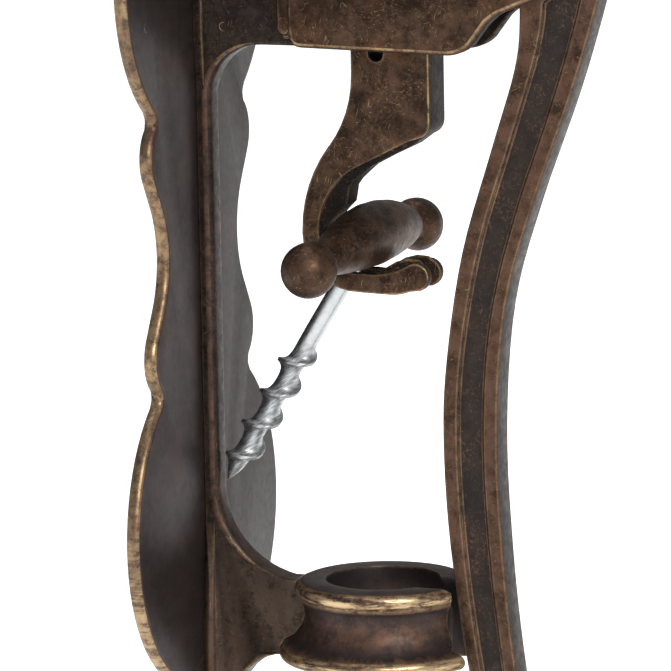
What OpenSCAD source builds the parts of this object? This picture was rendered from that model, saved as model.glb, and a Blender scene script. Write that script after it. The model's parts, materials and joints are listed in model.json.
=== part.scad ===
// Wall-mounted lever corkscrew: a toothed lever drives a ram down and up in front of a
// wall plate, and the claw of the ram carries a separate T-handled corkscrew.
// Origin: centre of the wall plate's back face. X to the side, -Y away from the wall, Z up.

/* [Wall plate] */
// Thickness of the wall plate
plate_t = 3.5; // [3:0.1:4]
// Height of the wall screw holes above and below the middle
wall_hole_z = 120; // [118:0.5:124]
// Radius of the wall screw holes
wall_hole_r = 2.6; // [2:0.1:3]
// Radius of the countersinks round the wall screw holes
wall_sink_r = 5; // [4:0.1:5.5]

/* [Frame] */
// Half width of the web of the C-shaped frame
web_half = 3.3; // [3:0.1:3.6]
// Front of the web's wider foot, from the wall
foot_y = 5.9; // [5:0.1:6.5]

/* [Casing] */
// Half width of the gap between the two side covers
gap_half = 5.4; // [5.35:0.01:5.45]
// Thickness of each side cover
cover_t = 4.2; // [3.8:0.1:4.6]
// Height of the casing's lower edge
casing_z0 = 48.3; // [48:0.1:49]
// Height of the casing's top edge
casing_z1 = 112.5; // [112:0.1:113]

/* [Drive] */
// Distance of the lever pivot from the wall
pivot_y = 81; // [80.8:0.1:81]
// Height of the lever pivot
pivot_z = 86; // [85.8:0.1:86.2]
// Full swing of the lever
lever_swing = 126; // [100:1:126]

/* [Ram] */
// Half width of the ram
ram_half = 5.3; // [5.2:0.01:5.34]
// Distance of the ram's back face from the wall
ram_back_y = 43.1; // [43.1:0.1:43.4]
// Height of the ram's top end at rest
ram_top_z = 140; // [139:0.5:142]

/* [Lever] */
// Half thickness of the lever's rails
rail_half = 3.85; // [3.5:0.05:4]
// Depth of the long recess on each side of the lever
recess_d = 1; // [0.6:0.1:1.2]
// Radius of the knob on the lever's end
knob_r = 10.5; // [9:0.5:12]

/* [Bottle collar] */
// Radius of the collar's bore, which a cork passes and a bottle's lip does not
bore_r = 13.5; // [13.2:0.1:13.8]
// Radius of the seat for the bottle's lip under the collar
seat_r = 15.5; // [15.2:0.1:15.8]
// Half width of the slot that lets the worm in from the front
slot_half = 5.3; // [5.2:0.1:5.6]

/* [Corkscrew] */
// Lean of the worm towards the wall at rest, in degrees
lean = 31.9; // [31.5:0.1:32]
// Largest radius of the arched handle
grip_r = 7.4; // [6.8:0.1:7.5]
// Half distance between the handle's ball ends
ball_x = 35.3; // [33:0.1:37]
// Radius of the handle's ball ends
ball_r = 6.4; // [5.5:0.05:6.5]
// Length from the handle's middle to the worm's point
worm_len = 70.2; // [69:0.1:70.3]
// Radius of the shank
shank_r = 2.25; // [2.2:0.05:2.5]
// Outer radius of the worm's thread
thread_r = 4.2; // [4:0.05:4.6]
// Pitch of the worm's thread
thread_pitch = 9; // [8:0.1:10]

/* [Hidden] */
$fn = 64;
eps = 0.01;

bronze = "#5a4a40";
dark_bronze = "#463c38";
steel = "#b9bdc1";
brass = "#8f7440";

// Gear sizes: module, teeth that the sector's full circle would have, and a
// 25 degree pressure angle, which has no undercut at 14 teeth
gear_m = 3;
gear_z = 14;
press_a = 25;
pitch_r = gear_m * gear_z / 2;
base_r = pitch_r * cos(press_a);
tip_r = pitch_r + 2.6;
root_r = pitch_r - 3.1;
tooth_deg = 360 / gear_z;
tooth_half_deg = 90 / gear_z - 0.68;
rack_pitch = PI * gear_m;
pitch_line_y = pivot_y - pitch_r;
first_tooth = -1;
last_tooth = 6;
stroke = pitch_r * lever_swing * PI / 180;
slot_r = root_r + 0.4;

// Fork of the lever's head, and the sector plate inside it
head_half = gap_half - 0.2;
sector_half = 2.5;
fork_half = 2.55;
fork_r = 15.5;
lobe_r = 23.9;

// Pivot fit: bolt, bushing and covers
bolt_r = 4;
bolt_fit = 0.05;
bush_r = 6;
pin_gap = 0.03;
washer_t = 1;

cover_x = gap_half + cover_t;
boss_r = 26.5;

// Distance of the ram's front face from the wall, just behind the pitch line's root
ram_front_y = 62.3;

// Cover screws as [distance from wall, height]
cover_screw_at = [[36.5, 104], [36.5, 70], [66, 64.5], [65.3, 108.6]];
cover_screw_r = 1.75;
cover_head_r = 3.4;
cap_t = 2.6;
cap_front_y = 70;
// Rear of the casing's block and of the low strip along each cover; the cover's face starts further out
casing_back_y = 26.4;
cover_back_y = 29.2;
strip_t = 2.8;
strip_z0 = casing_z0 + 3;
cap_screw_at = [for (x = [-7.5, 7.5], y = [31, 57.5]) [x, y]];
cap_screw_r = 1.1;

// Stop pin of the ram, riding in closed grooves inside both covers
stop_y = 49.6;
stop_z = 104;
stop_r = 2;
stop_len = 14.6;
groove_d = 2.1;

// Plain cross hole in the ram, just under the casing
lower_hole = [49.3, 47];
lower_hole_r = 1.9;

// Frame screws through the plate, as heights
frame_screw_z = [97, 62, -84, -98];
frame_screw_r = 2;
foot_end_z = 112;

// Collar, as heights and radii
collar_y = 47.1;
collar_z1 = -77.5;
collar_z0 = -96.5;
seat_z = -84.5;
collar_screw_z = -89;

// Middle of the handle in the claw; its ball ends lie lower than this, and its barrel's middle higher
grip_y = 45.2;
grip_z = 3.4;
drop = 3;
rise = 0.8;

// ---------------------------------------------------------------- helpers

// Points along a circular arc
function arc(c, r, a0, a1, n = 10) =
    [for (i = [0:n]) let (a = a0 + (a1 - a0) * i / n) [c[0] + r * cos(a), c[1] + r * sin(a)]];

// A smooth curve through points (Catmull-Rom), n steps between neighbours
function through(p, n = 5) =
    [for (i = [0:len(p) - 2], k = [0:n - 1])
        let (t = k / n, a = p[max(i - 1, 0)], b = p[i], c = p[i + 1], d = p[min(i + 2, len(p) - 1)])
        0.5 * (2 * b + (c - a) * t + (2 * a - 5 * b + 4 * c - d) * t * t
               + (3 * b - a - 3 * c + d) * t * t * t)];

function flip_x(p) = [for (i = [len(p) - 1:-1:0]) [-p[i][0], p[i][1]]];
function flip_y(p) = [for (i = [len(p) - 1:-1:0]) [p[i][0], -p[i][1]]];

// Unit vector at an angle
function unit(a) = [cos(a), sin(a)];

// An outline drawn in [distance from wall, height], made into a slab across X
module slab(x0, x1) {
    translate([x0, 0, 0])
        rotate([90, 0, 90])
            linear_extrude(x1 - x0)
                mirror([1, 0])
                    children();
}

// An outline drawn in [x, height], made into a slab from y0 to y1 in front of the wall
module panel(y0, y1) {
    translate([0, -y0, 0])
        rotate([90, 0, 0])
            linear_extrude(y1 - y0)
                children();
}

// A rod along X at a point [distance from wall, height]
module rod_x(at, r, x0, x1) {
    translate([x0, -at[0], at[1]])
        rotate([0, 90, 0])
            cylinder(r = r, h = x1 - x0);
}

// A rod along Y, from y0 to y1 in front of the wall
module rod_y(x, z, r, y0, y1, r1 = undef) {
    translate([x, -y0, z])
        rotate([90, 0, 0])
            cylinder(r1 = r, r2 = is_undef(r1) ? r : r1, h = y1 - y0);
}

// Places the corkscrew's own frame (worm down -Z, handle along X) in the claw
module in_claw() {
    translate([0, -grip_y, grip_z])
        rotate([lean, 0, 0])
            children();
}

// ---------------------------------------------------------------- wall plate

// Quarter outline of the plate: waist, bulge, notch, lobe and round end tab
waist_c = [43.8, 0];
waist_r = 22;
bulge_c = [21, 23.5];
bulge_r = 9.8;
waist_turn = 32.4;
notch_pt = [27, 32.6];
lobe_c = [4.3, 65.5];
plate_lobe_r = 39.2;
lobe_start = -53;
tab_c = [0, wall_hole_z];
tab_r = 13;
neck_r = 8;
// Centre of the neck's round, which touches the lobe and the tab from outside
neck_d = tab_c - lobe_c;
neck_dist = norm(neck_d);
neck_a = plate_lobe_r + neck_r;
neck_b = tab_r + neck_r;
neck_u = (neck_dist * neck_dist + neck_a * neck_a - neck_b * neck_b) / (2 * neck_dist);
neck_v = sqrt(neck_a * neck_a - neck_u * neck_u);
neck_dir = neck_d / neck_dist;
neck_c = lobe_c + neck_u * neck_dir + neck_v * [neck_dir[1], -neck_dir[0]];
lobe_end = atan2(neck_c[1] - lobe_c[1], neck_c[0] - lobe_c[0]);
tab_start = atan2(neck_c[1] - tab_c[1], neck_c[0] - tab_c[0]);
plate_quarter = concat(
    arc(waist_c, waist_r, 180, 180 - waist_turn, 8),
    arc(bulge_c, bulge_r, -waist_turn, 50, 10),
    [notch_pt],
    arc(lobe_c, plate_lobe_r, lobe_start, lobe_end, 24),
    arc(neck_c, neck_r, lobe_end + 180, tab_start + 180, 8),
    arc(tab_c, tab_r, tab_start, 90, 14));
plate_half = concat(flip_y(plate_quarter), plate_quarter);

module wall_plate() {
    color(bronze)
        difference() {
            panel(0, plate_t)
                polygon(concat(plate_half, flip_x(plate_half)));
            for (z = [-wall_hole_z, wall_hole_z]) {
                rod_y(0, z, wall_hole_r, -eps, plate_t + eps);
                rod_y(0, z, wall_hole_r, plate_t - 2.4, plate_t + eps, wall_sink_r);
            }
            for (z = frame_screw_z) {
                rod_y(0, z, frame_screw_r + pin_gap, -eps, plate_t + eps);
                rod_y(0, z, 4.2, -eps, 2.1, frame_screw_r);
            }
        }
}

module frame_screws() {
    color(steel)
        for (z = frame_screw_z)
            union() {
                rod_y(0, z, frame_screw_r, 1, 13);
                rod_y(0, z, 4.1, 0.1, 2, frame_screw_r);
            }
}

// ---------------------------------------------------------------- C-frame

upper_corner_c = [20, 34.9];
upper_corner_r = 13;
lower_corner_c = [28.5, -57.5];
lower_corner_r = 21.5;
arm_top_z = -78.5;
gusset_c = [24.5, foot_end_z];
gusset_r = 14.5;
web_outline = concat(
    [[plate_t, foot_end_z], [gusset_c[0] - gusset_r, foot_end_z]],
    arc(gusset_c, gusset_r, 180, 270, 8),
    [[casing_back_y + 3, foot_end_z - gusset_r], [casing_back_y + 3, casing_z0 - 0.4]],
    arc(upper_corner_c, upper_corner_r, 90, 180, 12),
    arc(lower_corner_c, lower_corner_r, 180, 258, 16),
    [[32, arm_top_z], [32, collar_z0 + 0.4]],
    arc([gusset_c[0], -foot_end_z], gusset_r + 1, 90, 180, 8),
    [[plate_t, -foot_end_z]]);

// Wider foot of the web along the plate, tapering out towards the middle
module foot(half, z_end, z_step, z_taper) {
    panel(plate_t, foot_y)
        polygon([[-half, z_end], [half, z_end], [half, z_step], [web_half, z_taper],
                 [-web_half, z_taper], [-half, z_step]]);
}

module c_frame() {
    color(dark_bronze)
        difference() {
            union() {
                slab(-web_half, web_half)
                    polygon(web_outline);
                slab(-gap_half, gap_half)
                    translate([casing_back_y, casing_z0 + 1.7])
                        square([ram_back_y - 2.2 - casing_back_y, casing_z1 - casing_z0 - 1.7]);
                foot(4.4, foot_end_z, 50, 38);
                foot(6, -foot_end_z, -92, -66);
            }
            for (z = frame_screw_z)
                rod_y(0, z, frame_screw_r + pin_gap, plate_t - 1, 13.2);
            for (i = [0, 1])
                rod_x(cover_screw_at[i], cover_screw_r + pin_gap, -gap_half - 1, gap_half + 1);
            translate([0, -collar_y, 0])
                collar_outer();
            rod_y(0, collar_screw_z, 2 + pin_gap, 14, 36);
        }
}

// ---------------------------------------------------------------- bottle collar

// Outer surface of the collar: bead, waist and flange
bead_r = 20.9;
collar_profile = concat(
    [[0, collar_z0], [23.5, collar_z0]],
    arc([23, collar_z0 + 1.8], 1.8, -60, 70, 6),
    [[21.5, collar_z0 + 4.6], [19.4, collar_z0 + 7.4], [18.6, -86.4], [18.9, -83.4], [19.9, -81.6]],
    arc([bead_r - 1.9, -79.6], 1.9, -50, 80, 6),
    [[18.8, collar_z1], [0, collar_z1]]);

module collar_outer() {
    rotate_extrude($fn = 96)
        polygon(collar_profile);
}

// Slot towards the front, rounded where it meets the bore and where it meets the outside
lip_in = 3;
lip_out = 2;
lip_in_x = slot_half + lip_in;
lip_in_c = [lip_in_x, sqrt(pow(bore_r + lip_in, 2) - lip_in_x * lip_in_x)];
lip_out_x = slot_half + lip_out;
lip_out_c = [lip_out_x, sqrt(pow(bead_r - lip_out, 2) - lip_out_x * lip_out_x)];
slot_side = concat(
    [[lip_in_x * bore_r / (bore_r + lip_in), 0]],
    arc(lip_in_c, lip_in, 180 + atan2(lip_in_c[1], lip_in_c[0]), 180, 6),
    arc(lip_out_c, lip_out, 180, atan2(lip_out_c[1], lip_out_c[0]), 6),
    [[lip_out_x + 2.5, 40]]);

module bottle_collar() {
    color(bronze)
        translate([0, -collar_y, 0])
            difference() {
                collar_outer();
                translate([0, 0, collar_z0 - 1])
                    cylinder(r = bore_r, h = 21);
                translate([0, 0, collar_z0 - 1])
                    cylinder(r = seat_r, h = seat_z - collar_z0 + 1);
                translate([0, 0, collar_z0 - 1])
                    linear_extrude(21)
                        mirror([0, 1])
                            polygon(concat(slot_side, flip_x(slot_side)));
                translate([0, collar_y, 0]) {
                    rod_y(0, collar_screw_z, 2 + pin_gap, 25, 34);
                    rod_y(0, collar_screw_z, 2, 29, 34, 4.5);
                }
            }
}

module collar_screw() {
    color(steel)
        intersection() {
            union() {
                rod_y(0, collar_screw_z, 2, 15, 31);
                rod_y(0, collar_screw_z, 1.9, 29, 33.9, 4.3);
            }
            difference() {
                translate([-10, -40, -99])
                    cube([20, 30, 20]);
                translate([0, -collar_y, collar_z0 - 1])
                    cylinder(r = seat_r + 0.4, h = 20);
            }
        }
}

// ---------------------------------------------------------------- casing

pivot = [pivot_y, pivot_z];
nose_a = 108.4;
cover_outline = concat(
    arc([cover_back_y + 3, casing_z0 + 3], 3, 180, 270, 5),
    arc([68, casing_z0 + 7.9], 8.7, 270, 315, 6),
    arc([86.5, 46.7], 12, 135, nose_a, 5),
    arc(pivot, boss_r, nose_a - 180, 90, 30),
    [[cover_back_y, casing_z1]]);
// Low strip along the cover's rear edge, with a round lower end
strip_r = (cover_back_y - casing_back_y) / 2;
strip_outline = concat(
    arc([casing_back_y + strip_r, strip_z0 + strip_r], strip_r, 180, 360, 10),
    [[cover_back_y + eps, casing_z1], [casing_back_y, casing_z1]]);

module side_cover(side) {
    x0 = side > 0 ? gap_half : -cover_x;
    groove_x0 = side > 0 ? gap_half - 1 : -gap_half - groove_d;
    difference() {
        union() {
            slab(x0, x0 + cover_t)
                polygon(cover_outline);
            slab(side > 0 ? gap_half : -gap_half - strip_t, side > 0 ? gap_half + strip_t : -gap_half)
                polygon(strip_outline);
        }
        rod_x(pivot, bolt_r + bolt_fit, x0 - 1, x0 + cover_t + 1);
        for (at = cover_screw_at)
            rod_x(at, cover_screw_r + pin_gap, x0 - 1, x0 + cover_t + 1);
        // Groove for the stop pin, closed at both ends
        slab(groove_x0, groove_x0 + groove_d + 1)
            translate([stop_y - stop_r - 0.15, stop_z - stroke - stop_r - 0.2])
                square([2 * stop_r + 0.3, stroke + 2 * stop_r + 0.4]);
        for (at = cap_screw_at)
            if (at[0] * side > 0)
                translate([at[0], -at[1], casing_z1 - 8])
                    cylinder(r = cap_screw_r + pin_gap, h = 9);
    }
}

module left_side_cover() { color(bronze) side_cover(-1); }
module right_side_cover() { color(bronze) side_cover(1); }

module cover_screws() {
    color(steel)
        for (at = cover_screw_at)
            difference() {
                union() {
                    rod_x(at, cover_screw_r, -cover_x - 1, cover_x + 2.8);
                    rod_x(at, cover_head_r, -cover_x - 2, -cover_x);
                }
                translate([-cover_x - 2.5, -at[0] - 4, at[1] - 0.4])
                    cube([1.3, 8, 0.8]);
            }
}

module cover_nuts() {
    color(steel)
        for (at = cover_screw_at)
            difference() {
                translate([cover_x, -at[0], at[1]])
                    rotate([0, 90, 0])
                        cylinder(r = 3.5, h = 2.4, $fn = 6);
                rod_x(at, cover_screw_r + pin_gap, cover_x - 1, cover_x + 3);
            }
}

module cover_spacer() {
    color(steel)
        difference() {
            rod_x(cover_screw_at[3], 2.6, -gap_half, gap_half);
            rod_x(cover_screw_at[3], cover_screw_r + pin_gap, -gap_half - 1, gap_half + 1);
        }
}

module top_cap() {
    color(bronze)
        difference() {
            translate([-cover_x, -cap_front_y, casing_z1])
                cube([2 * cover_x, cap_front_y - cover_back_y, cap_t]);
            translate([-ram_half - 0.3, -ram_front_y - 0.4, casing_z1 - 1])
                cube([2 * ram_half + 0.6, ram_front_y - ram_back_y + 0.8, cap_t + 2]);
            for (at = cap_screw_at)
                translate([at[0], -at[1], casing_z1 - 1])
                    cylinder(r = cap_screw_r + pin_gap, h = cap_t + 2);
        }
}

module top_cap_screws() {
    color(steel)
        for (at = cap_screw_at)
            difference() {
                translate([at[0], -at[1], casing_z1 - 7]) {
                    cylinder(r = cap_screw_r, h = cap_t + 7.5);
                    translate([0, 0, cap_t + 7])
                        cylinder(r = 2, h = 1.3);
                }
                translate([at[0] - 3, -at[1] - 0.25, casing_z1 + cap_t + 0.7])
                    cube([6, 0.5, 2]);
            }
}

module rear_guide_strip() {
    color(brass)
        slab(-gap_half + 0.1, gap_half - 0.1)
            translate([ram_back_y - 2.2, casing_z0 + 2])
                square([2.1, casing_z1 - casing_z0 - 3]);
}

module front_guide_block() {
    color(dark_bronze)
        difference() {
            slab(-gap_half + 0.02, gap_half - 0.02)
                difference() {
                    polygon([[ram_front_y + 0.15, casing_z0 + 1.2], [69, casing_z0 + 1.2],
                             [73, 51.8], [77, 56], [77, 68], [ram_front_y + 0.15, 68]]);
                    translate(pivot)
                        circle(r = tip_r + 1);
                }
            rod_x(cover_screw_at[2], cover_screw_r + pin_gap, -gap_half - 1, gap_half + 1);
        }
}

// ---------------------------------------------------------------- pivot

module pivot_bolt() {
    color(steel)
        union() {
            rod_x(pivot, bolt_r, -cover_x - washer_t - 1, cover_x + washer_t + 6.5);
            intersection() {
                translate([-cover_x - washer_t + 6.2, -pivot_y, pivot_z])
                    sphere(r = 10);
                rod_x(pivot, 7.6, -cover_x - washer_t - 4, -cover_x - washer_t);
            }
        }
}

module pivot_washers() {
    color(steel)
        for (x0 = [-cover_x - washer_t, cover_x])
            difference() {
                rod_x(pivot, 8.6, x0, x0 + washer_t);
                rod_x(pivot, bolt_r + bolt_fit, x0 - 1, x0 + washer_t + 1);
            }
}

module pivot_nut() {
    color(steel)
        difference() {
            translate([cover_x + washer_t, -pivot_y, pivot_z])
                rotate([0, 90, 0])
                    cylinder(r = 7.5, h = 5, $fn = 6);
            rod_x(pivot, bolt_r + pin_gap, cover_x, cover_x + washer_t + 6);
        }
}

// ---------------------------------------------------------------- ram with claw

hook_c = [43.7, 4.6];
hook_in_r = 9.2;
hook_out_r = 13.5;
claw_tip_c = [58.2, -5];
claw_tip_r = 3.3;
roof_c = [52, 4.6];
roof_r = 17.6;
ram_outline = concat(
    [[ram_front_y, ram_top_z], [ram_back_y, ram_top_z]],
    arc([ram_back_y - 27.6, 42], 27.6, 0, -38, 6),
    arc([62.8, 5], 32.5, 142, 180, 6),
    arc([43.8, 4.5], hook_out_r, 180, 270, 10),
    arc([52, 3.6], 12.9, 270, 292, 4),
    arc(claw_tip_c, claw_tip_r, 292, 470, 10),
    [[54.5, -3.2], [51, -4.3], [48, -4.7]],
    arc(hook_c, hook_in_r, 280, 180, 8),
    arc(roof_c, roof_r, 176, 116.6, 8),
    [[56.8, 26.7]],
    arc([ram_front_y - 3.5, 31], 3.5, 296, 360, 5));

// Ridges along the middle of the claw's inside, which bear on the handle: the line where each rises out
// of the claw, just under its surface, and the ridge's crest
ridge_half = 3.2;
roof_foot = concat(arc(roof_c, roof_r + 0.4, 178, 116.6, 8), [[50.3, 23.9], [56.6, 27.1], [60, 28.7]]);
roof_crest = [[34.2, 5], [37, 7], [39.3, 9.7], [40.9, 11.3], [41.2, 12.8], [41.6, 15.2], [42.7, 16.7],
              [44.4, 18.3], [46.6, 20.2], [51.1, 22.6], [57.4, 25.6], [60.5, 28.1]];
floor_foot = [[59.8, -3], [58.2, -2.1], [55.5, -3.3], [52.5, -4.3], [50.3, -4.9], [48, -5.1], [45.8, -5.2]];
floor_crest = [[60, -2.5], [58.6, -1.1], [55.8, -0.9], [52.8, -1.7], [50.6, -3], [48.5, -4.3], [46, -4.9]];

module ridge(foot, crest) {
    last = len(foot) - 1;
    side = ram_half - 0.3;
    rows = [for (i = [0:last])
        [[-side, -foot[i][0], foot[i][1]], [-ridge_half, -crest[i][0], crest[i][1]],
         [ridge_half, -crest[i][0], crest[i][1]], [side, -foot[i][0], foot[i][1]]]];
    polyhedron(
        [for (row = rows) each row],
        concat([[0, 1, 2, 3]], [[for (k = [3:-1:0]) 4 * last + k]],
               [for (i = [0:last - 1], k = [0:3], half = [0, 1])
                   let (a = 4 * i + k, b = 4 * i + (k + 1) % 4)
                   half == 0 ? [a, a + 4, b] : [b, a + 4, b + 4]]));
}

// Spaces of the rack, in line with the sector's teeth at rest
module rack_spaces() {
    deep = 3.2;
    out = 4;
    for (i = [-1:6])
        translate([pitch_line_y, pivot_z + i * rack_pitch])
            polygon([[-deep, -rack_pitch / 4 + deep * tan(press_a)],
                     [-deep, rack_pitch / 4 - deep * tan(press_a)],
                     [out, rack_pitch / 4 + out * tan(press_a)],
                     [out, -rack_pitch / 4 - out * tan(press_a)]]);
}

module ram() {
    color(bronze)
        difference() {
            union() {
                slab(-ram_half, ram_half)
                    difference() {
                        polygon(ram_outline);
                        rack_spaces();
                    }
                ridge(roof_foot, roof_crest);
                ridge(floor_foot, floor_crest);
            }
            // Fork that lets the shank swing
            translate([-2.9, -66, -12])
                cube([5.8, 38, 11.6]);
            rod_x([stop_y, stop_z], stop_r + pin_gap, -ram_half - 1, ram_half + 1);
            rod_x(lower_hole, lower_hole_r, -ram_half - 1, ram_half + 1);
        }
}

module ram_stop_pin() {
    color(steel)
        rod_x([stop_y, stop_z], stop_r, -stop_len / 2, stop_len / 2);
}

// ---------------------------------------------------------------- lever

// Direction of the lever's end, and the knob's middle
knob_dir = 102;
knob_side = [sin(knob_dir), -cos(knob_dir)];
knob_root = [80.2, -121.8];
knob_neck = 12.4;
knob_c = knob_root - (knob_neck + eps) * unit(knob_dir);

// Rear and front edges of the lever, from the head down to the knob
lever_rear = through([[79, 68], [83.3, 62], [84, 55], [82.6, 44], [76.6, 25], [69.2, 1], [65, -24],
                      [63.9, -43], [65.2, -68], [69.4, -98], [74.5, -122]]);
lever_front = through([[104.6, 84], [105.8, 72], [103, 60], [96.5, 39], [86.8, 13], [79.8, -11],
                       [77.3, -40], [78.4, -70], [81.3, -98], [85.4, -120]]);
lever_outline = concat(lever_rear, [knob_root - 5.5 * knob_side, knob_root + 5.7 * knob_side],
                       [for (i = [len(lever_front) - 1:-1:0]) lever_front[i]],
                       [[pivot_y + 2, pivot_z + 8], [pivot_y - 8, pivot_z]]);

// Middle line of the lever's recess, between the two rails
function mid(i) = (lever_rear[i + 10] + lever_front[i + 5]) / 2;
recess_n = 38;
recess_rear = [for (i = [0:recess_n]) mid(i) + 0.23 * (lever_rear[i + 10] - lever_front[i + 5])];
recess_front = [for (i = [recess_n:-1:0]) mid(i) - 0.23 * (lever_rear[i + 10] - lever_front[i + 5])];

module at_knob() {
    translate([0, -knob_c[0], knob_c[1]])
        rotate([90 - knob_dir, 0, 0])
            children();
}

// Web and fork of the head in profile; the disc's front lobe is larger than its toothed side
module head_shape() {
    translate(pivot) {
        circle(r = fork_r);
        intersection() {
            circle(r = lobe_r);
            polygon([[0, 0], 40 * unit(12), 40 * unit(-30), 40 * unit(-80)]);
        }
    }
}

module lever() {
    color(bronze)
        difference() {
            union() {
                slab(-rail_half, rail_half)
                    polygon(lever_outline);
                slab(-head_half, head_half)
                    head_shape();
                at_knob()
                    cylinder(r = 3.5, h = 16);
            }
            for (side = [-1, 1])
                slab(side > 0 ? rail_half - recess_d : -rail_half - 1,
                     side > 0 ? rail_half + 1 : -rail_half + recess_d)
                    polygon(concat(recess_rear, recess_front));
            // Slot for the sector plate
            rod_x(pivot, slot_r, -fork_half, fork_half);
            slab(-fork_half, fork_half)
                translate(pivot)
                    difference() {
                        circle(r = tip_r + 0.6);
                        polygon([[0, 0], 60 * unit(14), 60 * unit(-30), 60 * unit(-90), 60 * unit(-140),
                                 [0, -1]]);
                    }
            rod_x(pivot, bush_r + pin_gap, -10, 10);
            for (p = sector_pin_at)
                rod_x(p, 1.5 + pin_gap, -10, 10);
            at_knob()
                rod_x([0, 4], 1.2 + pin_gap, -10, 10);
        }
}

module lever_bushing() {
    color(brass)
        difference() {
            rod_x(pivot, bush_r, -head_half, head_half);
            rod_x(pivot, bolt_r + bolt_fit, -10, 10);
        }
}

// Sector pins, as points behind and under the pivot
sector_pin_at = [pivot + 11.2 * unit(20), pivot + 11.2 * unit(-75)];

function inv(a) = tan(a) * 180 / PI - a;
function flank(r) = tooth_half_deg + inv(press_a) - inv(acos(min(1, base_r / r)));

// One involute tooth of the sector, centred on angle a
module tooth(a) {
    n = 6;
    rr = [for (i = [0:n]) base_r + (tip_r - base_r) * i / n];
    polygon(concat(
        [root_r * 0.9 * unit(a - flank(base_r)) ],
        [for (r = rr) r * unit(a - flank(r))],
        [for (i = [n:-1:0]) rr[i] * unit(a + flank(rr[i]))],
        [root_r * 0.9 * unit(a + flank(base_r))]));
}

module gear_sector() {
    color(steel)
        difference() {
            slab(-sector_half, sector_half)
                translate(pivot) {
                    circle(r = root_r);
                    for (i = [first_tooth:last_tooth])
                        tooth(180 - i * tooth_deg);
                }
            rod_x(pivot, bush_r + pin_gap, -10, 10);
            for (p = sector_pin_at)
                rod_x(p, 1.5 + pin_gap, -10, 10);
        }
}

module sector_pins() {
    color(steel)
        for (p = sector_pin_at)
            rod_x(p, 1.5, -head_half, head_half);
}

module lever_knob() {
    color(bronze)
        at_knob()
            difference() {
                rotate_extrude($fn = 72)
                    polygon(concat([[0, -knob_r]], arc([0, 0], knob_r, -90, 58, 20),
                                   [[5, knob_neck - 1.8], [5.6, knob_neck - 0.9],
                                    [5, knob_neck], [0, knob_neck]]));
                cylinder(r = 3.5 + pin_gap, h = 20);
                rod_x([0, 4], 1.2 + pin_gap, -20, 20);
            }
}

module knob_pin() {
    color(steel)
        at_knob()
            rod_x([0, 4], 1.2, -9.2, 9.2);
}

// ---------------------------------------------------------------- corkscrew

// Radius of the handle along its length, and the drop of its arched middle line
function grip_at(x) = grip_r - 4.5 * pow(abs(x) / 31, 1.9);
function arch_at(x) = rise - (drop + rise) * pow(x / ball_x, 2);
grip_n = 26;
grip_sides = 28;
grip_xs = [for (i = [0:grip_n]) 31.5 * (2 * i / grip_n - 1)];

module grip_body() {
    pts = [for (x = grip_xs, k = [0:grip_sides - 1])
        let (a = 360 * k / grip_sides)
        [x, grip_at(x) * cos(a), arch_at(x) + grip_at(x) * sin(a)]];
    sides = [for (i = [0:grip_n - 1], k = [0:grip_sides - 1])
        let (a = i * grip_sides, b = a + grip_sides, m = (k + 1) % grip_sides)
        [a + k, b + k, b + m, a + m]];
    ends = [[for (k = [0:grip_sides - 1]) k],
            [for (k = [grip_sides - 1:-1:0]) grip_n * grip_sides + k]];
    polyhedron(pts, concat(sides, ends), convexity = 4);
}

module corkscrew_handle() {
    color(bronze)
        in_claw()
            difference() {
                union() {
                    grip_body();
                    for (x = [-ball_x, ball_x])
                        translate([x, 0, -drop])
                            sphere(r = ball_r);
                }
                translate([0, 0, -12])
                    cylinder(r = shank_r + pin_gap, h = 16);
                translate([0, 20, 0])
                    rotate([90, 0, 0])
                        cylinder(r = 1 + pin_gap, h = 40);
            }
}

// Thread: a tapering rib wound round the core
thread_top = 31;
thread_turns = 3.95;
ring_n = 24;
core_r = 2.15;

module thread() {
    n = floor(thread_turns * ring_n);
    function fade(t) = min(1, t * 9, (1 - t) * 6 + 0.12);
    pts = [for (i = [0:n])
        let (t = i / n, a = 360 * i / ring_n, z = -thread_top - thread_pitch * i / ring_n,
             out = core_r + (thread_r - core_r) * fade(t), in = core_r * 0.45)
        for (q = [[in, 2], [out - 0.8, 0.85], [out, 0.25], [out, -0.25], [out - 0.8, -0.85], [in, -2]])
            [q[0] * cos(a), -q[0] * sin(a), z + q[1] * (t > 0.93 ? 0.7 : 1)]];
    sides = [for (i = [0:n - 1], k = [0:5])
        let (a = i * 6, b = a + 6, m = (k + 1) % 6)
        [a + k, a + m, b + m, b + k]];
    ends = [[for (k = [5:-1:0]) k], [for (k = [0:5]) n * 6 + k]];
    polyhedron(pts, concat(sides, ends), convexity = 8);
}

module corkscrew_worm() {
    color(steel)
        in_claw()
            difference() {
                union() {
                    rotate_extrude()
                        polygon([[0, 3.8], [shank_r, 3.8], [shank_r, -thread_top + 3],
                                 [core_r, -thread_top - 3], [core_r, -worm_len + 8],
                                 [1.7, -worm_len + 4], [0.1, -worm_len], [0, -worm_len]]);
                    thread();
                }
                translate([0, 20, 0])
                    rotate([90, 0, 0])
                        cylinder(r = 1 + pin_gap, h = 40);
            }
}

module corkscrew_pin() {
    color(steel)
        in_claw()
            translate([0, 6.8, 0])
                rotate([90, 0, 0])
                    cylinder(r = 1, h = 13.6);
}

wall_plate();
c_frame();
frame_screws();
bottle_collar();
collar_screw();
left_side_cover();
right_side_cover();
cover_screws();
cover_nuts();
cover_spacer();
top_cap();
top_cap_screws();
rear_guide_strip();
front_guide_block();
pivot_bolt();
pivot_washers();
pivot_nut();
ram();
ram_stop_pin();
lever();
lever_bushing();
gear_sector();
sector_pins();
lever_knob();
knob_pin();
corkscrew_handle();
corkscrew_worm();
corkscrew_pin();
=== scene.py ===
"""Looks of a wall-mounted lever corkscrew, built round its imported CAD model."""

import json
import math

import bmesh
import bpy
from mathutils import Matrix, Vector


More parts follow.
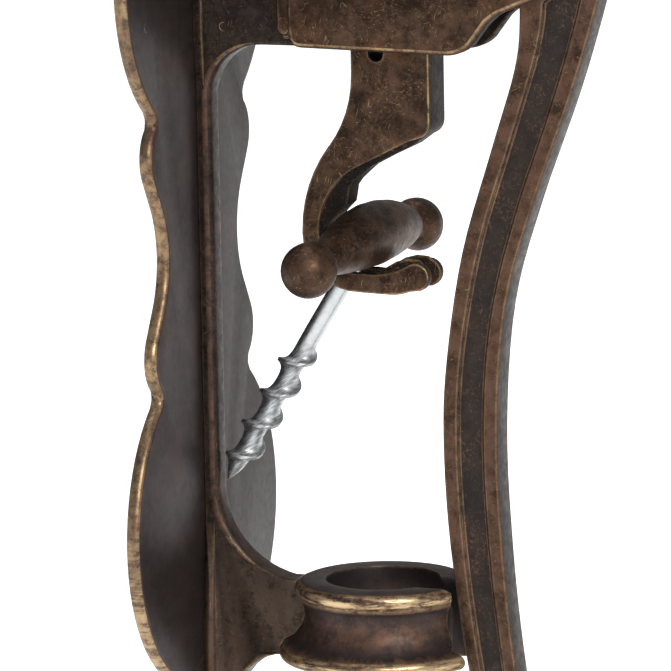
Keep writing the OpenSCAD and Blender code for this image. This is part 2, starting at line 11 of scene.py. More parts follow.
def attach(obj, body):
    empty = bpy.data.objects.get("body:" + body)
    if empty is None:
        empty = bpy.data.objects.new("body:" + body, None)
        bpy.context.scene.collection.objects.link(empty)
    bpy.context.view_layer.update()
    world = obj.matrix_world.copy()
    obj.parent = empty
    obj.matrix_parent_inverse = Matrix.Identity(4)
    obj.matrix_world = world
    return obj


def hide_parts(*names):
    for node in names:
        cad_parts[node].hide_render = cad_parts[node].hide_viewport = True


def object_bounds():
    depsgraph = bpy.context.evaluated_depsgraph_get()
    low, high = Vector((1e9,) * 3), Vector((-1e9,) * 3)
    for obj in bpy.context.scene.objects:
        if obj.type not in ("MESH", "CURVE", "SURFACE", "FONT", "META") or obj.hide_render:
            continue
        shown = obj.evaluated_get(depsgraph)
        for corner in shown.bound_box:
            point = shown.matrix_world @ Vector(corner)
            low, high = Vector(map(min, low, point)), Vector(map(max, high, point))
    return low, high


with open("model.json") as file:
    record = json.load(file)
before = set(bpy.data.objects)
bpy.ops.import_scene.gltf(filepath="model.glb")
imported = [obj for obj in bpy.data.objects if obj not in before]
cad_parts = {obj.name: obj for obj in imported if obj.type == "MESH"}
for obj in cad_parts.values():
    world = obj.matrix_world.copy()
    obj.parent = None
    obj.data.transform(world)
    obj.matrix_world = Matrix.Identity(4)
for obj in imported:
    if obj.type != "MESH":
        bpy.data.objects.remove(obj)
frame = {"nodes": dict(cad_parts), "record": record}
cad_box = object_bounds()
MM = 0.001


# ------------------------------------------------------------------ camera, floor and light

# Where the camera stands round the object and how it is turned about its own axis, in degrees
AZIMUTH, ELEVATION, ROLL = -68.719, 9.863, -1.064
# The point it looks at, how far it is from that point, and its lens and sensor width, all in mm
TARGET = (0, -36.15, -20.39)
DISTANCE = 1490.6
LENS, SENSOR = 342.2, 36
# The point the soft boxes face, in metres
LIT_POINT = (0, -0.04, 0)


def camera():
    """A long lens, low on the object's left front, turned slightly about its own axis."""
    azimuth, elevation, roll = (math.radians(angle) for angle in (AZIMUTH, ELEVATION, ROLL))
    target = Vector(TARGET) * MM
    distance = DISTANCE * MM
    data = bpy.data.cameras.new("camera")
    data.sensor_width = SENSOR
    data.lens = LENS
    data.clip_start = 0.05
    data.clip_end = 60
    cam = bpy.data.objects.new("camera", data)
    back = Vector((math.sin(azimuth) * math.cos(elevation),
                   -math.cos(azimuth) * math.cos(elevation), math.sin(elevation)))
    turn = back.to_track_quat("Z", "Y").to_matrix() @ Matrix.Rotation(roll, 3, "Z")
    cam.matrix_world = Matrix.Translation(target + back * distance) @ turn.to_4x4()
    bpy.context.scene.collection.objects.link(cam)
    bpy.context.scene.camera = cam


def area_light(name, place, size, power, colour=(1, 1, 1)):
    """A square soft box of this size in metres and power in watts, facing the object."""
    data = bpy.data.lights.new(name, "AREA")
    data.shape = "RECTANGLE"
    data.size = size
    data.size_y = size
    data.energy = power
    data.color = colour
    light = bpy.data.objects.new(name, data)
    light.location = place
    light.rotation_mode = "QUATERNION"
    light.rotation_quaternion = (Vector(place) - Vector(LIT_POINT)).to_track_quat("Z", "Y")
    bpy.context.scene.collection.objects.link(light)


def studio():
    """A white floor under the object, a dim surround and large soft boxes."""
    low = cad_box[0].z
    half = 14                            # half the floor's width in metres
    mesh = bpy.data.meshes.new("floor")
    mesh.from_pydata([(-half, -half, low), (half, -half, low), (half, half, low), (-half, half, low)],
                     [], [(0, 1, 2, 3)])
    floor = bpy.data.objects.new("floor", mesh)
    bpy.context.scene.collection.objects.link(floor)
    white = bpy.data.materials.new("floor_white")
    white.use_nodes = True
    shader = white.node_tree.nodes["Principled BSDF"]
    shader.inputs["Base Color"].default_value = (0.9, 0.9, 0.9, 1)
    shader.inputs["Roughness"].default_value = 0.9
    shader.inputs["Emission Color"].default_value = (1, 1, 1, 1)
    shader.inputs["Emission Strength"].default_value = 0.75
    mesh.materials.append(white)
    world = bpy.data.worlds.new("studio")
    world.use_nodes = True
    surround = world.node_tree.nodes["Background"]
    surround.inputs["Color"].default_value = (0.93, 0.96, 1, 1)
    surround.inputs["Strength"].default_value = 0.32
    bpy.context.scene.world = world
    bpy.context.scene.view_settings.view_transform = "Standard"
    area_light("key", (-1.3, -1.1, 1.0), 1.0, 34, (1, 0.97, 0.93))
    area_light("top", (0.2, 0.3, 1.6), 1.2, 14)


# ------------------------------------------------------------------ materials

class Nodes:
    """A new material, and short ways to add nodes to it."""

    def __init__(self, name):
        self.material = bpy.data.materials.new(name)
        self.material.use_nodes = True
        self.tree = self.material.node_tree
        self.shader = self.tree.nodes["Principled BSDF"]
        self.coords = self.tree.nodes.new("ShaderNodeTexCoord").outputs["Object"]

    def put(self, value, socket):
        """Sets a socket to a number or a colour, or links another node's output to it."""
        if isinstance(value, (int, float)):
            socket.default_value = value
        elif isinstance(value, tuple):
            socket.default_value = (*value, 1)
        else:
            self.tree.links.new(value, socket)

    def noise(self, size_mm, detail=4, roughness=0.6, stretch=(1, 1, 1), turn=(0, 0, 0)):
        """Noise with features of this size, drawn out by stretch along turned axes."""
        mapping = self.tree.nodes.new("ShaderNodeMapping")
        mapping.vector_type = "TEXTURE"
        mapping.inputs["Rotation"].default_value = [math.radians(t) for t in turn]
        mapping.inputs["Scale"].default_value = stretch
        self.tree.links.new(self.coords, mapping.inputs["Vector"])
        node = self.tree.nodes.new("ShaderNodeTexNoise")
        self.tree.links.new(mapping.outputs[0], node.inputs["Vector"])
        node.inputs["Scale"].default_value = 1000 / size_mm
        node.inputs["Detail"].default_value = detail
        node.inputs["Roughness"].default_value = roughness
        return node.outputs["Fac"]

    def height(self):
        """Height in the object's own frame, in metres."""
        node = self.tree.nodes.new("ShaderNodeSeparateXYZ")
        self.tree.links.new(self.coords, node.inputs[0])
        return node.outputs["Z"]

    def ramp(self, value, low, high, bottom=0.0, top=1.0):
        """A smooth step from bottom, where value is under low, to top, where it is over high."""
        node = self.tree.nodes.new("ShaderNodeMapRange")
        node.interpolation_type = "SMOOTHSTEP"
        self.put(value, node.inputs["Value"])
        node.inputs["From Min"].default_value = low
        node.inputs["From Max"].default_value = high
        node.inputs["To Min"].default_value = bottom
        node.inputs["To Max"].default_value = top
        return node.outputs[0]

    def maths(self, how, *values):
        """Arithmetic on numbers or outputs; all results but MAXIMUM are held between 0 and 1."""
        node = self.tree.nodes.new("ShaderNodeMath")
        node.operation = how
        node.use_clamp = how != "MAXIMUM"
        for value, socket in zip(values, node.inputs):
            self.put(value, socket)
        return node.outputs[0]

    def mix(self, amount, a, b):
        """a where amount is 0, b where it is 1."""
        node = self.tree.nodes.new("ShaderNodeMix")
        node.data_type = "RGBA"
        self.put(amount, node.inputs["Factor"])
        self.put(a, node.inputs[6])
        self.put(b, node.inputs[7])
        return node.outputs[2]

    def attribute(self, name):
        """A value painted on the mesh."""
        node = self.tree.nodes.new("ShaderNodeAttribute")
        node.attribute_name = name
        return node.outputs["Fac"]

    def nearness(self, reach_mm, inside):
        """Up to 1 beside a convex edge (inside) or in a corner (outside), 0 on open faces."""
        node = self.tree.nodes.new("ShaderNodeAmbientOcclusion")
        node.samples = 2
        node.inside = inside
        node.only_local = True
        node.inputs["Distance"].default_value = reach_mm * MM
        return self.maths("SUBTRACT", 1.0, node.outputs["AO"])

    def bump(self, height, strength, distance_mm):
        """Fine relief in the shading."""
        node = self.tree.nodes.new("ShaderNodeBump")
        node.inputs["Strength"].default_value = strength
        node.inputs["Distance"].default_value = distance_mm * MM
        self.put(height, node.inputs["Height"])
        self.tree.links.new(node.outputs[0], self.shader.inputs["Normal"])


# Colours of old bronze: black painted shade in corners, slate grey painted as shade in recesses and as
# sheen on faces turned front and back, metal brown from handling and, on the collar, as painted sheen, the
# web's lighter lower end, rubbed edges, and the brightest streaks on the collar's bead, worn bright and
# painted as a highlight
SHADE_BLACK = (0.006, 0.005, 0.0045)
SHADE_AND_SHEEN_SLATE = (0.034, 0.031, 0.03)
HANDLED_AND_SHEEN = (0.105, 0.058, 0.042)
LOWER_WEB_BROWN = (0.115, 0.08, 0.06)
GOLDEN = (0.33, 0.228, 0.125)
POLISHED_HIGHLIGHT = (0.56, 0.41, 0.24)
# How far painted shade reaches out of a corner, and wear in from an edge, in mm
SHADE_REACH, EDGE_REACH = 13, 0.8
# Height over which the web's lighter, browner lower end fades out upwards, in mm
FADE = 22


def times(colour, factor, lift=0.0):
    """A colour made darker or brighter, at most white."""
    return tuple(min(1, c * factor + lift) for c in colour)


def scratches(n, amount):
    """Fine short scratches that run several ways, sparse in some places and close in others."""
    found = None
    for turn, stretch in ((12, 14), (-38, 9), (71, 11), (118, 16)):    # degrees, length to width
        lines = n.ramp(n.noise(0.3, 1, 0.5, (1, 1, stretch), (turn, turn / 3, 0)), 0.68, 0.74)
        patch = n.ramp(n.noise(7 + turn / 30, 2, 0.5, (1, 1, 1), (0, 0, turn)), 0.42, 0.62)
        lines = n.maths("MULTIPLY", lines, patch)
        found = lines if found is None else n.maths("ADD", found, lines)
    return n.maths("MULTIPLY", found, amount)


def patina(name, face, dark, red, rubbed, scratched, edges=1.0, rough_cast=0.22, mottled=1.0,
           lighter_below=None):
    """Antique bronze: a blackened casting, mottled brown, rubbed golden on its edges and scratched, with
    black painted shade in its corners.
    The attribute wear tints the metal brown up to 0.3, gilds it up to 1 and polishes it from 1.2 to 2.2, in
    streaks also painted as a highlight;
    the attribute for painted shade and sheen turns it slate grey up to 1 and black up to 2."""
    n = Nodes(name)
    # The blackened casting, lighter and browner towards its lower end, with warmer clouds and specks of
    # grime
    colour = n.mix(n.ramp(n.noise(5.5, 6, 0.68), 0.36, 0.62), dark, face)
    if lighter_below is not None:
        lighter_end = n.ramp(n.height(), (lighter_below - FADE) * MM, lighter_below * MM, 0.5, 0)
        colour = n.mix(lighter_end, colour, LOWER_WEB_BROWN)
    colour = n.mix(n.ramp(n.noise(13, 4, 0.6), 0.5, 0.72, 0, 0.7), colour, red)
    grime = n.ramp(n.noise(2.4, 5, 0.75), 0.5, 0.66, 0, 0.6 * mottled)
    colour = n.mix(grime, colour, times(dark, 0.4))
    # Painted shade in recesses and corners, and a painted slate grey sheen on faces turned front and back
    deep = n.attribute("deep")
    colour = n.mix(n.ramp(deep, 0, 1, 0, 0.85), colour,
                   n.mix(n.noise(3, 5, 0.7), times(SHADE_AND_SHEEN_SLATE, 0.6), SHADE_AND_SHEEN_SLATE))
    # Corners and crevices darkened towards black as painted shade, from how near other faces are
    corner = n.ramp(n.nearness(SHADE_REACH, False), 0.06, 0.5, 0, 0.92)
    corner = n.maths("MAXIMUM", corner, n.ramp(deep, 1, 2, 0, 0.96))
    colour = n.mix(corner, colour, SHADE_BLACK)
    # Fine grains of bare metal in some places, and scratches
    grains = n.maths("MULTIPLY", n.ramp(n.noise(0.9, 5, 0.85), 0.5, 0.66),
                     n.ramp(n.noise(8, 3, 0.6), 0.42, 0.66))
    colour = n.mix(n.maths("MULTIPLY", grains, rubbed), colour, times(red, 2.1, 0.02))
    scratched = n.maths("MULTIPLY", scratches(n, scratched), n.ramp(deep, 0, 1, 1, 0.35))
    colour = n.mix(scratched, colour, times(GOLDEN, 0.8))
    # Metal brown from handling, and on the collar brown as painted sheen; edges rubbed golden in patches;
    # bare is where they are worn bright in streaks, also painted as a highlight
    near = n.ramp(n.nearness(EDGE_REACH, True), 0.12, 0.5)
    wear = n.attribute("wear")
    blotches = n.ramp(n.noise(4.5, 6, 0.75), 0.38, 0.62, 0.1, 1.65)
    colour = n.mix(n.maths("MULTIPLY", n.ramp(wear, 0, 0.3, 0, 0.6), blotches), colour, HANDLED_AND_SHEEN)
    bare = n.ramp(wear, 1.2, 2.2)
    streaks = n.noise(2.6, 5, 0.75, (7, 7, 1))
    gold = n.maths("MULTIPLY_ADD", wear, 1.25, -0.25)
    rub = n.maths("MULTIPLY", n.maths("MAXIMUM", n.maths("MULTIPLY", near, 0.6), gold),
                  n.ramp(n.noise(2.2, 5, 0.8), 0.34, 0.62, 0.1, edges))
    rub = n.maths("MULTIPLY", rub, n.ramp(n.noise(16, 3, 0.5), 0.3, 0.6, 0.5, 1.0))
    rub = n.maths("SUBTRACT", rub, n.maths("MULTIPLY", bare, n.ramp(streaks, 0.38, 0.54, 0.6, 0)))
    colour = n.mix(rub, colour, GOLDEN)
    # The brightest streaks, worn bare, are brightened further as a painted highlight
    polish_highlight = n.maths("MULTIPLY", bare, n.ramp(streaks, 0.46, 0.6))
    colour = n.mix(polish_highlight, colour, POLISHED_HIGHLIGHT)
    n.put(colour, n.shader.inputs["Base Color"])
    # Painted shade is dull, bare metal is smoother than the patina, and the casting is faintly uneven
    n.put(n.maths("MULTIPLY", n.maths("SUBTRACT", 1.0, corner), 0.75), n.shader.inputs["Metallic"])
    n.shader.inputs["Specular IOR Level"].default_value = 0.12
    rough = n.ramp(n.noise(1.8, 5, 0.7), 0.3, 0.7, 0.46 - 0.1 * mottled, 0.46 + 0.1 * mottled)
    rough = n.maths("SUBTRACT", rough, n.maths("MULTIPLY", n.maths("ADD", rub, polish_highlight), 0.16))
    n.put(n.maths("ADD", rough, n.maths("MULTIPLY", corner, 0.4)), n.shader.inputs["Roughness"])
    height = n.maths("ADD", n.maths("MULTIPLY", n.noise(4.5, 4, 0.6), 0.6),
                     n.maths("MULTIPLY", n.noise(0.8, 4, 0.7), 0.4))
    n.bump(height, rough_cast, 0.5)
    return n.material


def bright_steel(name):
    """Zinc plated steel, smooth on the shank and turned roughly on the worm, where wear is 1."""
    n = Nodes(name)
    colour = n.mix(n.noise(3, 4), (0.36, 0.38, 0.39), (0.56, 0.58, 0.59))
    worm = n.attribute("wear")
    grooves = n.noise(0.3, 3, 0.6, (8, 8, 1), (-32, 0, 0))
    dulled = n.maths("MULTIPLY", worm, n.ramp(grooves, 0.4, 0.6, 0, 0.85))
    colour = n.mix(dulled, colour, (0.2, 0.21, 0.21))
    # Darkened where the worm's flights and other faces crowd in: painted shade
    colour = n.mix(n.ramp(n.nearness(2.5, False), 0.1, 0.6, 0, 0.7), colour, (0.06, 0.06, 0.06))
    n.put(colour, n.shader.inputs["Base Color"])
    n.shader.inputs["Metallic"].default_value = 1
    rough = n.ramp(n.noise(1.2, 3), 0.3, 0.7, 0.24, 0.42)
    n.put(n.maths("MULTIPLY_ADD", worm, 0.1, rough), n.shader.inputs["Roughness"])
    uneven = n.maths("MULTIPLY", n.noise(0.7, 4, 0.7, (1, 1, 3)), 0.4)
    n.bump(n.mix(worm, uneven, grooves), 0.6, 0.12)
    return n.material


def worked_metal(name, base):
    """Machined metal gone brown: fasteners, pins, gear and bearings."""
    n = Nodes(name)
    colour = n.mix(n.ramp(n.noise(3, 4, 0.7), 0.3, 0.7), times(base, 0.55), base)
    near = n.ramp(n.nearness(EDGE_REACH, True), 0.12, 0.5, 0, 0.6)
    colour = n.mix(near, colour, times(base, 2.4))
    n.put(colour, n.shader.inputs["Base Color"])
    n.shader.inputs["Metallic"].default_value = 1
    n.put(n.ramp(n.noise(1.5, 3), 0.3, 0.7, 0.28, 0.45), n.shader.inputs["Roughness"])
    n.bump(n.noise(0.9, 3), 0.08, 0.1)
    return n.material


def make_materials():
    """The record's six material slots."""
    return {
        "bronze_patina": patina(
            "bronze_patina", face=(0.046, 0.036, 0.036), dark=(0.034, 0.027, 0.027),
            red=(0.06, 0.04, 0.036), rubbed=0.2, scratched=0.1, rough_cast=0.015, mottled=0.35),
        "bronze_dark": patina(
            "bronze_dark", face=(0.038, 0.028, 0.023), dark=(0.018, 0.014, 0.013),
            red=(0.06, 0.033, 0.022), rubbed=0.4, scratched=0.3, edges=0.8, lighter_below=-58),
        "bronze_lever": patina(
            "bronze_lever", face=(0.068, 0.04, 0.026), dark=(0.024, 0.015, 0.01),
            red=(0.09, 0.042, 0.024), rubbed=0.6, scratched=0.6),
        "steel_dark": worked_metal("steel_dark", (0.12, 0.1, 0.09)),
        "steel_bright": bright_steel("steel_bright"),
        "brass_bearing": worked_metal("brass_bearing", (0.5, 0.38, 0.18)),
    }


# ------------------------------------------------------------------ pieces

SLOT_OF = {s["node"]: s["material_slot"] for s in frame["record"]["subparts"]}
BODY_OF = {n: b for b, names in frame["record"]["behaviour"]["bodies"].items() for n in names}


def add_piece(name, mesh, nodes):
    """Shows a new mesh in place of CAD nodes, on their body and with their material."""
    piece = bpy.data.objects.new(name, mesh)
    bpy.context.scene.collection.objects.link(piece)
    mesh.materials.append(materials[SLOT_OF[nodes[0]]])
    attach(piece, BODY_OF[nodes[0]])
    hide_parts(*nodes)


def ease(value, low, high):
    """0 below low, 1 above high, and a smooth step between them."""
    t = min(1.0, max(0.0, (value - low) / (high - low)))
    return t * t * (3 - 2 * t)


def crest(at, normal, rounded):
    """Wear of a piece cut from flat stock across X: strongest where its broad faces turn into an edge."""
    if not rounded:
        return 0, 0
    return (1, 0) if abs(normal.x) > 0.72 else (0.3, 0)


# Crescent marks of ejector pins: middle in mm and the direction the face looks in
MARKS = {
    "wall_plate": [((-32, -3.5, 55), (0, -1, 0)), ((32, -3.5, 55), (0, -1, 0))],
    "c_frame": [((-3.3, -10.8, 52), (-1, 0, 0)), ((3.3, -10.8, 52), (1, 0, 0))],
}


def add_marks(mesh, marks):
    """Thin raised crescents, rubbed bright, half sunk in a cast face."""
    radius, wire, steps, sides = 1.0, 0.12, 20, 8
    first_turn, sweep = 75, 215          # degrees
    bm = bmesh.new()
    bm.from_mesh(mesh)
    wear = bm.faces.layers.float["wear"]
    for middle, look in marks:
        out = Vector(look)
        across = Vector((0, 0, 1)).cross(out)
        rings = []
        for i in range(steps + 1):
            turn = math.radians(first_turn + sweep * i / steps)
            ray = across * math.cos(turn) + Vector((0, 0, 1)) * math.sin(turn)
            thick = wire * (0.25 + math.sin(math.pi * i / steps))
            rings.append([bm.verts.new((Vector(middle) + ray * (radius + thick * math.cos(a))
                                        + out * thick * 0.6 * math.sin(a)) * MM)
                          for a in (2 * math.pi * k / sides for k in range(sides))])
        made = [bm.faces.new((a[k], a[(k + 1) % sides], b[(k + 1) % sides], b[k]))
                for a, b in zip(rings, rings[1:]) for k in range(sides)]
        made += [bm.faces.new(rings[0]), bm.faces.new(rings[-1])]
        bmesh.ops.recalc_face_normals(bm, faces=made)
        for face in made:
            face[wear] = 0.9
            face.smooth = True
    bm.to_mesh(mesh)
    bm.free()


def roll_ends(mesh):
    """Rolls the top of the collar's bead over beside the front slot."""
    slot_half, reach, drop = 5.3, 3.6, 2.5
    slot_from_wall = 58                  # the slot is beyond this distance from the wall
    bead_low, bead_top = -82.5, -77.5
    bm = bmesh.new()
    bm.from_mesh(mesh)
    for side in (-1, 1):
        for step in (0.15, 0.4, 0.8, 1.3, 2.0, 2.8, reach):
            bmesh.ops.bisect_plane(bm, geom=[*bm.verts, *bm.edges, *bm.faces], dist=0.01 * MM,
                                   plane_co=(side * (slot_half + step) * MM, 0, 0), plane_no=(1, 0, 0))
    for vert in bm.verts:
        x, y, z = vert.co / MM
        if y < -slot_from_wall and abs(x) < slot_half + reach:
            t = max(0.0, (abs(x) - slot_half) / reach)
            sunk = drop * (1 - math.sqrt(max(0.0, 1 - (1 - t) ** 2)))
            vert.co.z -= sunk * ease(z, bead_low, bead_top) * MM
    for face in bm.faces:
        face.smooth = True
    bm.to_mesh(mesh)
    bm.free()


# Angle in degrees under which faces are merged into one, and over which an edge between them is rounded
FLAT, SHARP = 0.6, 28
# Points nearer to each other than this, in mm, are one point
WELD = 0.002


def refine(node, width, paint, segments):
    """A copy of a CAD node with merged flat faces and rounded edges.
    Where width is a function, it gives an edge's rounding in mm from the edge's middle, in mm.
    paint gives each face's wear and its painted shade and sheen, from its middle in mm, its normal and
    whether it is part of a rounding. The collar, which is round all over, is painted point by point."""
    pick = width if callable(width) else lambda at: width
    bm = bmesh.new()
    bm.from_mesh(frame["nodes"][node].data)
    bmesh.ops.remove_doubles(bm, verts=bm.verts, dist=WELD * MM)
    bmesh.ops.dissolve_limit(bm, angle_limit=math.radians(FLAT), verts=bm.verts, edges=bm.edges)
    weight = bm.edges.layers.float.new("bevel_weight_edge")
    sharp = [e for e in bm.edges
             if len(e.link_faces) == 2 and e.calc_face_angle(0) > math.radians(SHARP)]
    widths = [pick((e.verts[0].co + e.verts[1].co) / 2 / MM) for e in sharp]
    widest = max(widths)
    for edge, w in zip(sharp, widths):
        edge[weight] = w / widest
    for face in bm.faces:
        face.smooth = True
        face.material_index = 0
    mesh = bpy.data.meshes.new(node + "_rough")
    bm.to_mesh(mesh)
    bm.free()
    for _ in range(2):                   # the second slot only marks the roundings' faces
        mesh.materials.append(materials[SLOT_OF[node]])
    rough = bpy.data.objects.new(node + "_rough", mesh)
    bpy.context.scene.collection.objects.link(rough)
    rounding = rough.modifiers.new("rounding", "BEVEL")
    rounding.limit_method = "WEIGHT"
    rounding.width = widest * MM
    rounding.segments = segments
    rounding.material = 1
    rounding.harden_normals = True
    rounding.use_clamp_overlap = False
    bpy.context.view_layer.update()
    fine = bpy.data.meshes.new_from_object(rough.evaluated_get(bpy.context.evaluated_depsgraph_get()))
    bpy.data.objects.remove(rough)
    fine.name = node + "_fine"
    if node == "bottle_collar":
        roll_ends(fine)
        domain = "POINT"
        painted = [paint(vert.co / MM, vert.normal, False) for vert in fine.vertices]
    else:
        domain = "FACE"
        painted = [paint(poly.center / MM, poly.normal, poly.material_index == 1) for poly in fine.polygons]
    for name, column in (("wear", 0), ("deep", 1)):
        values = fine.attributes.new(name, "FLOAT", domain)
        values.data.foreach_set("value", [float(row[column]) for row in painted])
    fine.polygons.foreach_set("material_index", [0] * len(fine.polygons))
    fine.materials.clear()
    if node in MARKS:
        add_marks(fine, MARKS[node])
    add_piece(node + "_fine", fine, [node])


def lofted(name, rings, wears, nodes):
    """A closed round piece through rings of points, with a cap point at each end."""
    sides = len(rings[0])
    points = [p for ring in rings for p in ring]
    first, last = (sum(ring, Vector()) / sides for ring in (rings[0], rings[-1]))
    faces = [(i * sides + k, i * sides + (k + 1) % sides, (i + 1) * sides + (k + 1) % sides,
              (i + 1) * sides + k) for i in range(len(rings) - 1) for k in range(sides)]
    start, end = len(points), len(points) + 1
    top = (len(rings) - 1) * sides
    faces += [((k + 1) % sides, k, start) for k in range(sides)]
    faces += [(top + k, top + (k + 1) % sides, end) for k in range(sides)]
    mesh = bpy.data.meshes.new(name)
    mesh.from_pydata([*points, first, last], [], faces)
    wear = mesh.attributes.new("wear", "FLOAT", "POINT")
    wear.data.foreach_set("value", [w for w in wears for _ in range(sides)] + [wears[0], wears[-1]])
    mesh.shade_smooth()
    bm = bmesh.new()
    bm.from_mesh(mesh)
    bmesh.ops.recalc_face_normals(bm, faces=bm.faces)
    bm.to_mesh(mesh)
    bm.free()
    add_piece(name, mesh, nodes)


# The corkscrew's own frame: its worm along -Z and its handle along X, leaning in the claw
LEAN = math.radians(31.9)
HANDLE_MIDDLE = (0, -45.2, 3.4)
IN_CLAW = (Matrix.Translation(Vector(HANDLE_MIDDLE) * MM) @ Matrix.Rotation(LEAN, 4, "X")
           @ Matrix.Scale(MM, 4))


def corkscrew_handle():
    """Arched barrel that narrows to necks and ends in balls, one smooth turned casting."""
    ball_x, ball_r, drop, rise = 35.3, 6.4, 3.0, 0.8
    middle_r, neck_r, neck_x = 7.4, 2.9, 31
    filed_x, filed_depth = 27, 0.014     # half length of the filed part, and depth as a share of the radius
    rings, wears = [], []
    steps, sides = 150, 56
    end = ball_x + ball_r

    def barrel(x):
        """Radius of the barrel, thinning from its middle towards the necks."""
        return middle_r - (middle_r - neck_r) * (abs(x) / neck_x) ** 1.9

    def radius(x):
        """Radius of the whole handle across X."""
        ball = math.sqrt(max(0.0, ball_r ** 2 - (abs(x) - ball_x) ** 2))
        if abs(x) > ball_x:
            return ball
        neck = max(neck_r, barrel(x))
        blend = 1.1                      # mm over which neck and ball run into each other
        return max(neck, ball) + blend * 0.25 * max(0.0, 1 - abs(neck - ball) / blend) ** 2

    for i in range(steps + 1):
        t = math.pi * i / steps
        x = -end * math.cos(t)
        r = max(radius(x), 0.02)
        arch = rise - (drop + rise) * min(1.0, (x / ball_x) ** 2)
        # Faint flats left by the file on the barrel
        filed = filed_depth * max(0.0, 1 - abs(x) / filed_x)
        ring = []
        for k in range(sides):
            a = 2 * math.pi * k / sides
            flat = 1 + filed * (math.sin(3 * a + 0.3 * x) * math.cos(0.5 * x + a) - 1)
            ring.append(IN_CLAW @ Vector((x, r * flat * math.cos(a), arch + r * flat * math.sin(a))))
        rings.append(ring)
        wears.append(0.07 * max(0.0, (abs(x) - ball_x + 2) / ball_r))
    lofted("handle_fine", rings, wears, ["corkscrew_handle"])


def corkscrew_worm():
    """Shank and worm in one surface: a thin flight whose flanks run out into the core."""
    shank_r, core_r, thread_r = 2.25, 2.15, 4.2
    top, pitch, turns, length = 31.0, 9.0, 3.95, 70.2
    sides, step = 72, 0.16
    start = 3.8                          # upper end of the shank, inside the handle
    point = 8                            # length of the point
    land = 0.42                          # half width of the flight's crest along the axis
    reach = 3.0                          # from there to the flight's foot

    def radius(z, a):
        """Distance of the surface from the axis at a height and an angle."""
        body = core_r + (shank_r - core_r) * min(1.0, max(0.0, (z + top + 2) / 6))
        left = z + length
        if left < point:
            body = core_r * (1 - (1 - left / point) ** 2.2)
        bottom = -top - turns * pitch
        phase = (-top - z) / pitch - a / (2 * math.pi)
        off = (phase - round(phase)) * pitch
        top_of_rib = z + off
        # The flight grows over its first third of a turn, and runs out on the point
        grown = min(1.0, max(0.0, (-top - top_of_rib) / pitch * 3 + 0.15))
        fading = min(1.0, max(0.0, (top_of_rib - bottom) / pitch * 2.6 + 0.12))
        side = max(0.0, 1 - max(0.0, abs(off) - land) / reach)
        rib = (thread_r - core_r) * (0.25 * side + 0.75 * side ** 5) * min(grown, fading)
        if top_of_rib > -top + 0.5 or top_of_rib < bottom:
            rib = 0
        return max(0.04, body + rib)

    rings, wears = [], []
    count = int((length + start) / step)
    for i in range(count + 1):
        z = start - (length + start) * i / count
        rings.append([IN_CLAW @ Vector((radius(z, a) * math.cos(a), -radius(z, a) * math.sin(a), z))
                      for a in (2 * math.pi * k / sides for k in range(sides))])
        wears.append(ease(-z, top - 3, top + 2))
    lofted("worm_fine", rings, wears, ["corkscrew_worm"])


# ------------------------------------------------------------------ roundings, in mm

def web_edges(at):
    """The C-opening has well rounded edges, thinning out along its arms."""
    out, up = -at.y, at.z
    small, full, thinning = 0.4, 2.0, 0.13
    foot, far = 6.5, 25                  # how far from the wall the well rounded stretch begins and ends
    in_opening = abs(at.x) < 3.4 and foot < out < far and -78 < up < 48.5
    if in_opening:
        return max(small, min(full, full - thinning * (out - 8)))
    return 0 if up < -60 and out < foot else small


# The ram's cross hole and the round inside of its hook: distance from the wall, height and radius
CROSS_HOLE = (49.3, 47, 2.5)
HOOK = (52, 4.6, 18.3)


def ram_edges(at):
    """Rounded outer edges; thin ones at the cross hole and where the claw's inside and its ridges begin."""
    out, up = -at.y, at.z

    def within(circle):
        """Whether the edge lies in a circle seen from the side."""
        return math.hypot(out - circle[0], up - circle[1]) < circle[2]

    if abs(at.x) < 5.2 or within(CROSS_HOLE):
        return 0.15
    by_hook = within(HOOK) and up > -5.4 and out < 57
    by_roof = out > 43 and 15 < up < 21.3 + 0.505 * (out - 44.1)
    return 0.2 if by_hook or by_roof else 0.35


def cover_edges(at):
    """Well rounded outside, nearly sharp inside, where the gap is, and at the screw holes."""
    return 0.15 if abs(at.x) < 9 else 1.1


# ------------------------------------------------------------------ paint: wear and depth

def web_paint(at, normal, rounded):
    """The opening's edges are rubbed at its corners, its rounded inside is painted slate grey as a sheen,
    and the lower arm is slightly brown."""
    corner = at.z > 25 or at.z < -40
    root = at.y > -9
    inner = rounded and not root and -80 < at.z < 50
    on_crest = rounded and abs(normal.x) > 0.85
    crest_wear = 0.2 if root else 0.7 if corner else 0.06
    low = 0.14 * (at.z < -55)
    return (crest_wear if on_crest else max(low, 0.03 * rounded)), 0.9 * inner


# Height of the plate's notches above and below its middle, the height beyond which it has no screw
# holes, and how far to each side these can reach, in mm
NOTCH_Z = 30
HOLES_Z = 128
HOLES_X = 6


def plate_paint(at, normal, rounded):
    """The plate's outer edge is rubbed all over, least in the notches; its screw holes aren't."""
    edge = abs(normal.y) < 0.93 and (abs(at.x) > HOLES_X or abs(at.z) > HOLES_Z)
    notch = 1 - ease(abs(abs(at.z) - NOTCH_Z), 1, 6)
    worn = 0.8 + 0.35 * ease(-at.z, -30, 20) + 0.5 * ease(-at.z, 20, 90) - 0.5 * notch
    # The notches are painted slate grey as shade
    return (worn if edge else 0.2 * rounded), 0.6 * notch * edge


# Distance of the collar's axis from the wall, in mm
COLLAR_Y = 47.1


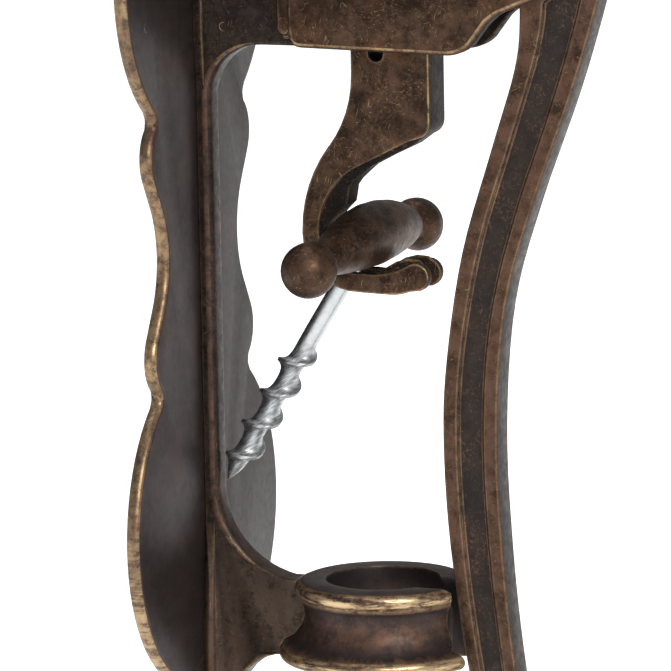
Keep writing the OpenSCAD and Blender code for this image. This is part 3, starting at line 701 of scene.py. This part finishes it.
def collar_paint(at, normal, rounded):
    """The bead and the flange are rubbed, with painted highlights in their brightest streaks; the waist and
    the ring's top are tinted brown as painted sheen, and the bore is painted slate grey as shade.
    """
    out = math.hypot(at.x, at.y + COLLAR_Y)
    bead = ease(out, 18.9, 19.8) * ease(at.z, -82.2, -81) * ease(-at.z, 77.6, 78.2)
    flange = ease(out, 23.2, 24.3) * ease(-at.z, 92.4, 93.4)
    waist = ease(-at.z, 82, 86) * ease(at.z, -93, -89)
    inside = out < 16 and abs(normal.z) < 0.5
    # Upward faces of the ring are tinted lighter brown as painted light from above
    top = 0.18 * (normal.z > 0.9 and at.z > -79)
    return max(2.2 * bead, 1.9 * flange, 0.25 * waist, top), 0.6 * inside


def lever_paint(at, normal, rounded):
    """The rails are brown from handling; the recesses are painted slate grey as shade, and the front and
    the back as a grey sheen.
    """
    recess_x, recess_top = (2.5, 3.2), 70
    floor = abs(normal.x) > 0.9 and recess_x[0] < abs(at.x) < recess_x[1] and at.z < recess_top
    across = abs(normal.x) < 0.5
    rail = 0 if floor else 0.22
    worn = 0 if across else max(rail, 0.42 * crest(at, normal, rounded)[0])
    return worn, (0.8 if floor else 0.95 * across)


def ram_paint(at, normal, rounded):
    """The claw's inside is painted black as shade, and the bar's front and back dark slate, a painted sheen
    dimmed with painted shade.
    """
    claw_middle, claw_top = Vector((0, -45, 4)), 31
    inward = claw_middle - at
    inside = at.z < claw_top and abs(normal.x) < 0.97 and (inward.y * normal.y + inward.z * normal.z) > 0
    if inside and not (rounded and abs(at.x) > 4.7):
        return 0, (1.5 if abs(normal.x) < 0.3 and at.z > 8 else 2.0)
    return crest(at, normal, rounded)[0], 1.4 * (abs(normal.x) < 0.5 and not rounded)


def cover_paint(at, normal, rounded):
    """The covers' inner faces and lower edges are painted black as shade."""
    inner = abs(at.x) < 6.4 and abs(normal.x) > 0.6
    under = abs(normal.x) < 0.5 and normal.z < -0.3
    return (0 if inner or under else crest(at, normal, rounded)[0]), (2.0 if inner else 1.6 * under)


# ------------------------------------------------------------------ build

# Each refined node, with the rounding of its edges in mm and its paint
REFINED = [
    ("wall_plate", 1.3, plate_paint), ("c_frame", web_edges, web_paint),
    ("bottle_collar", 0.25, collar_paint), ("left_side_cover", cover_edges, cover_paint),
    ("right_side_cover", cover_edges, cover_paint), ("ram", ram_edges, ram_paint),
    ("lever", 0.55, lever_paint), ("top_cap", 0.12, crest), ("front_guide_block", 0.4, crest),
    ("pivot_nut", 0.4, crest),
    ("cover_nuts", 0.25, crest), ("cover_screws", 0.2, crest), ("top_cap_screws", 0.15, crest),
    ("pivot_bolt", 0.15, crest), ("pivot_washers", 0.2, crest), ("lever_knob", 0.3, crest),
    ("gear_sector", 0.25, crest),
]
materials = make_materials()
camera()
studio()
for node, width, paint in REFINED:
    refine(node, width, paint, segments=5 if node == "c_frame" else 3)
corkscrew_handle()
corkscrew_worm()
replaced = {"corkscrew_handle", "corkscrew_worm", *(row[0] for row in REFINED)}
for node, obj in frame["nodes"].items():
    if node not in replaced:
        obj.data.materials.clear()
        obj.data.materials.append(materials[SLOT_OF[node]])
